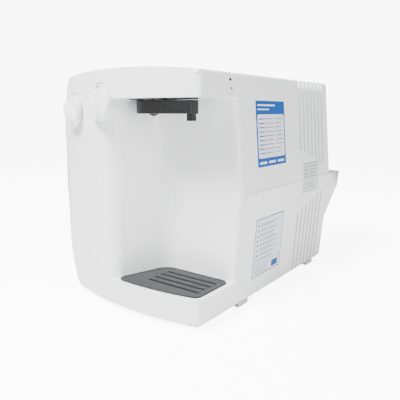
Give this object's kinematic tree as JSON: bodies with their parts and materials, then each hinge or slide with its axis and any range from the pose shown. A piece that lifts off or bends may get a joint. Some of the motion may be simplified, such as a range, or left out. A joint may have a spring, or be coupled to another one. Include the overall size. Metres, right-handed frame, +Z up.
{
  "type": "countertop water dispenser",
  "caption": "Compact countertop water dispenser: bowed white housing with a side-open niche, swivel spout, drip tray, turning knobs and a cooled, filtered water path inside.",
  "frame": {"origin": "middle of the bounding box at the worktop", "axes": "+Z up, -Y the front with the knobs, +X the side that the niche is open to"},
  "size_m": [0.2503, 0.4207, 0.3],
  "materials": {
    "white_shell": "glossy white injection-moulded shell",
    "niche_white": "glossy white lining",
    "tray_grey": "matte grey",
    "spout_dark": "satin dark grey",
    "brass_pivot": "nickel-plated",
    "seal_rubber": "matte black",
    "foot_grey": "soft light grey",
    "knob_white": "glossy white",
    "inner_plastic": "plain moulded",
    "steel": "brushed",
    "foam": "expanded foam",
    "cooler_alloy": "extruded",
    "ceramic": "ceramic white",
    "fan_black": "black",
    "filter_blue": "blue",
    "tube_clear": "translucent",
    "board_green": "circuit board",
    "label_blue": "printed label",
    "label_white": "printed label",
    "label_grey": "printed label"
  },
  "bodies": {
    "housing": {"base_front": "white_shell", "lower_housing": "white_shell", "upper_housing": "white_shell", "front_visor": "white_shell", "niche_lining": "niche_white", "spout_plate": "spout_dark", "spout_pivot": "brass_pivot", "spout_pivot_cap": "spout_dark", "spout_seals": "seal_rubber", "flow_valve": "inner_plastic", "temperature_valve": "inner_plastic", "valve_seals": "seal_rubber", "valve_nuts": "steel", "cold_tank": "steel", "tank_lid": "inner_plastic", "insulation_left": "foam", "insulation_right": "foam", "tank_stand": "steel", "cold_block": "cooler_alloy", "thermoelectric_module": "ceramic", "heat_sink": "cooler_alloy", "fan_frame": "fan_black", "fan_screws": "steel", "filter_cartridge": "inner_plastic", "filter_head": "filter_blue", "inlet_fitting": "inner_plastic", "supply_tube": "tube_clear", "filtered_tube": "tube_clear", "cold_tube": "tube_clear", "mixed_tube": "tube_clear", "outlet_tube": "tube_clear", "power_supply": "steel", "control_board": "board_green", "cord_gland": "seal_rubber", "case_screws": "steel", "feet": "foot_grey", "visor_pin": "steel", "upper_label": "label_blue", "lower_label": "label_white", "rating_label": "label_grey"},
    "flow_knob_body": {"flow_knob": "knob_white", "flow_spindle": "inner_plastic"},
    "temperature_knob_body": {"temperature_knob": "knob_white", "temperature_spindle": "inner_plastic"},
    "spout": {"spout_arm": "spout_dark", "spout_nozzle": "spout_dark"},
    "tray": {"drip_tray": "tray_grey"},
    "grille": {"drip_grille": "tray_grey"},
    "fan": {"fan_rotor": "fan_black"}
  },
  "joints": [
    {"name": "flow_knob_turn", "type": "hinge", "parent": "housing", "child": "flow_knob_body", "pos_m": [-0.0817, -0.18465, 0.2487], "axis": [-0.2447, -0.9653, 0.0906], "range_deg": [0, 90]},
    {"name": "temperature_knob_turn", "type": "hinge", "parent": "housing", "child": "temperature_knob_body", "pos_m": [-0.021, -0.19441, 0.258], "axis": [-0.0979, -0.9911, 0.0906], "range_deg": [0, 90]},
    {"name": "spout_swivel", "type": "hinge", "parent": "housing", "child": "spout", "pos_m": [0.022, -0.15085, 0.2476], "axis": [0, 0, 1], "range_deg": [-45, 15]},
    {"name": "tray_lift", "type": "slide", "parent": "housing", "child": "tray", "axis": [0, 0, 1], "range_m": [0, 0.045]},
    {"name": "grille_lift", "type": "slide", "parent": "tray", "child": "grille", "axis": [0, 0, 1], "range_m": [0, 0.03]},
    {"name": "fan_spin", "type": "hinge", "parent": "housing", "child": "fan", "pos_m": [-0.04, 0.09515, 0.1605], "axis": [0, 1, 0], "continuous": true}
  ]
}
